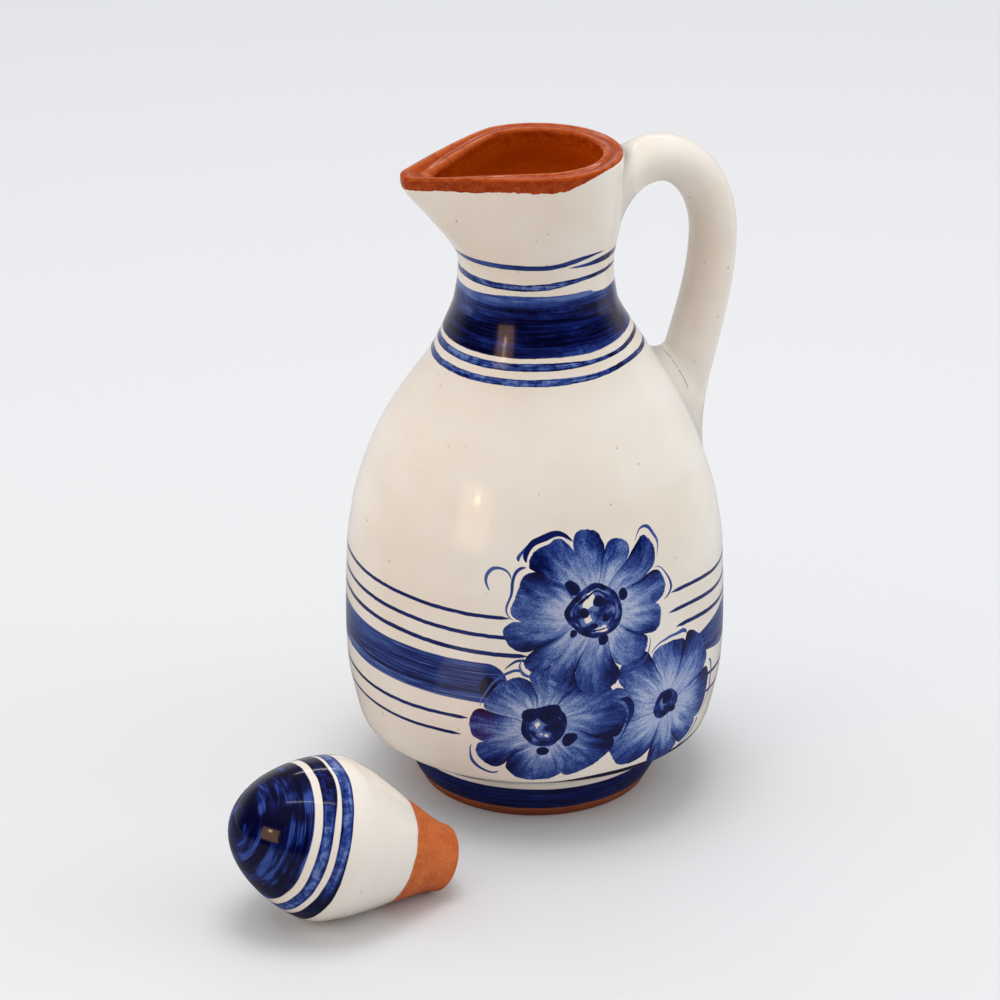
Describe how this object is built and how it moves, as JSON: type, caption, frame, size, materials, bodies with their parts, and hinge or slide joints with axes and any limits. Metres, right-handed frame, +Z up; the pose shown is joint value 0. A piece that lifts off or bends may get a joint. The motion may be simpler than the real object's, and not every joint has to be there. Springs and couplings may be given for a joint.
{
  "type": "oil carafe",
  "caption": "Round-bellied earthenware oil carafe with a pulled pouring spout, a looped handle and a loose bulb-shaped stopper, cream glazed with blue bands and flowers.",
  "frame": {"origin": "centre of the flat foot, on the axis that the vessel was thrown on", "axes": "+Z up along the throwing axis, -X towards the spout, +X towards the handle, -Y towards the painted front"},
  "size_m": [0.1821, 0.1497, 0.2034],
  "materials": {
    "vessel": "cream glaze with cobalt blue painted bands and flowers, clear glaze on terracotta at the mouth and inside, bare terracotta under the foot",
    "handle": "plain cream glaze",
    "stopper": "cream glaze with cobalt blue tip and bands, bare terracotta plug"
  },
  "bodies": {
    "carafe": {"vessel": "vessel", "handle": "handle"},
    "stopper": {"stopper": "stopper"}
  },
  "joints": [
    {"name": "stopper_lift", "type": "slide", "parent": "carafe", "child": "stopper", "axis": [0, 0, 1], "range_m": [0, 0.25]}
  ]
}
